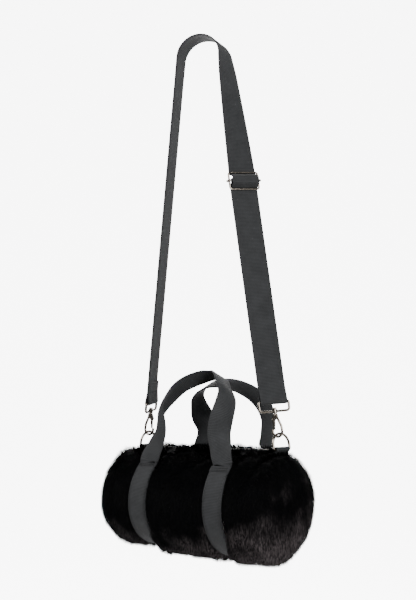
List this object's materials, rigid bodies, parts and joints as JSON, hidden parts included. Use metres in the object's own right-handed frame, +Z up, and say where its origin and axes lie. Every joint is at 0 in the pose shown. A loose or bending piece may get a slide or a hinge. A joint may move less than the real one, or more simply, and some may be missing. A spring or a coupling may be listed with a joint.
{
  "type": "faux fur barrel bag",
  "caption": "Small black faux fur barrel bag with a top zip, webbing carrying handles and a webbing shoulder strap on swivel snap hooks.",
  "frame": {"origin": "underside of the shoulder strap at its highest point, where a hook or a shoulder holds it", "axes": "+Z up, +X along the bag's length towards its right end, the bag's front faces -Y"},
  "size_m": [0.2746, 0.1422, 0.6838],
  "materials": {
    "faux_fur": "long pile fur",
    "webbing": "woven webbing",
    "wadding": "soft wadding",
    "lining": "plain woven lining",
    "zip_tape": "woven tape with metal teeth",
    "gunmetal": "polished gunmetal plating",
    "spring_steel": "bright"
  },
  "bodies": {
    "strap": {"strap_over": "webbing", "strap_run": "webbing", "strap_double_front": "webbing", "strap_double_back": "webbing", "strap_hook_loop": "webbing", "hook_eye_left": "gunmetal", "hook_eye_right": "gunmetal"},
    "adjuster": {"adjuster_frame": "gunmetal", "adjuster_bar": "gunmetal", "strap_bridge": "webbing", "strap_end_loop": "webbing"},
    "hook_left": {"hook_body_left": "gunmetal", "hook_gate_pin_left": "gunmetal", "hook_spring_left": "spring_steel"},
    "gate_left": {"hook_gate_left": "gunmetal"},
    "hook_right": {"hook_body_right": "gunmetal", "hook_gate_pin_right": "gunmetal", "hook_spring_right": "spring_steel"},
    "gate_right": {"hook_gate_right": "gunmetal"},
    "bag": {"fur_barrel": "faux_fur", "end_cap_left": "faux_fur", "end_cap_right": "faux_fur", "padding_barrel": "wadding", "padding_end_left": "wadding", "padding_end_right": "wadding", "lining_barrel": "lining", "lining_end_left": "lining", "lining_end_right": "lining", "zip_tape_front": "zip_tape", "zip_tape_rear": "zip_tape", "band_left": "webbing", "band_right": "webbing", "tab_left": "webbing", "tab_right": "webbing"},
    "ring_left": {"d_ring_left": "gunmetal"},
    "ring_right": {"d_ring_right": "gunmetal"},
    "front_handle": {"handle_front": "webbing"},
    "rear_handle": {"handle_rear": "webbing"},
    "slider": {"zip_slider": "gunmetal"},
    "pull": {"zip_pull": "gunmetal"}
  },
  "joints": [
    {"name": "adjuster_slide", "type": "slide", "parent": "strap", "child": "adjuster", "axis": [-0.1568, 0.0127, 0.9876], "range_m": [-0.2, 0.03], "deforming": ["strap_run", "strap_double_front", "strap_double_back"]},
    {"name": "hook_left_swivel", "type": "hinge", "parent": "strap", "child": "hook_left", "pos_m": [-0.1074, 0.005, -0.5245], "axis": [0.1567, -0.0325, 0.9871], "range_deg": [-20, 20]},
    {"name": "hook_right_swivel", "type": "hinge", "parent": "strap", "child": "hook_right", "pos_m": [0.1074, 0.005, -0.5245], "axis": [-0.1568, 0.0127, 0.9876], "range_deg": [-20, 20]},
    {"name": "gate_left_hinge", "type": "hinge", "parent": "hook_left", "child": "gate_left", "pos_m": [-0.10017, 0.00428, -0.50257], "axis": [0, 0.9995, 0.0329], "range_deg": [0, 26], "stiffness_Nm_per_rad": 0.002, "springref_deg": -14.32, "deforming": ["hook_spring_left"]},
    {"name": "gate_right_hinge", "type": "hinge", "parent": "hook_right", "child": "gate_right", "pos_m": [0.10017, 0.00528, -0.50256], "axis": [0, -0.9999, 0.0129], "range_deg": [0, 26], "stiffness_Nm_per_rad": 0.002, "springref_deg": -14.32, "deforming": ["hook_spring_right"]},
    {"name": "bag_swing", "type": "hinge", "parent": "strap", "child": "bag", "pos_m": [0, 0.005, -0.5245], "axis": [1, 0, 0], "range_deg": [-25, 25]},
    {"name": "ring_left_tilt", "type": "hinge", "parent": "bag", "child": "ring_left", "pos_m": [-0.10991, 0.005, -0.5403], "axis": [0, 1, 0], "range_deg": [-3, 3]},
    {"name": "ring_right_tilt", "type": "hinge", "parent": "bag", "child": "ring_right", "pos_m": [0.10991, 0.005, -0.5403], "axis": [0, 1, 0], "range_deg": [-3, 3]},
    {"name": "front_handle_fold", "type": "hinge", "parent": "bag", "child": "front_handle", "pos_m": [0, -0.0498, -0.55787], "axis": [1, 0, -0.0092], "range_deg": [0, 120]},
    {"name": "rear_handle_fold", "type": "hinge", "parent": "bag", "child": "rear_handle", "pos_m": [0, 0.04715, -0.55787], "axis": [-1, 0, 0.0092], "range_deg": [0, 120]},
    {"name": "zip_slide", "type": "slide", "parent": "bag", "child": "slider", "axis": [1, 0, 0], "range_m": [0, 0.161]},
    {"name": "pull_flip", "type": "hinge", "parent": "slider", "child": "pull", "pos_m": [-0.088, 0, -0.5382], "axis": [0, -1, 0], "range_deg": [0, 100]}
  ]
}
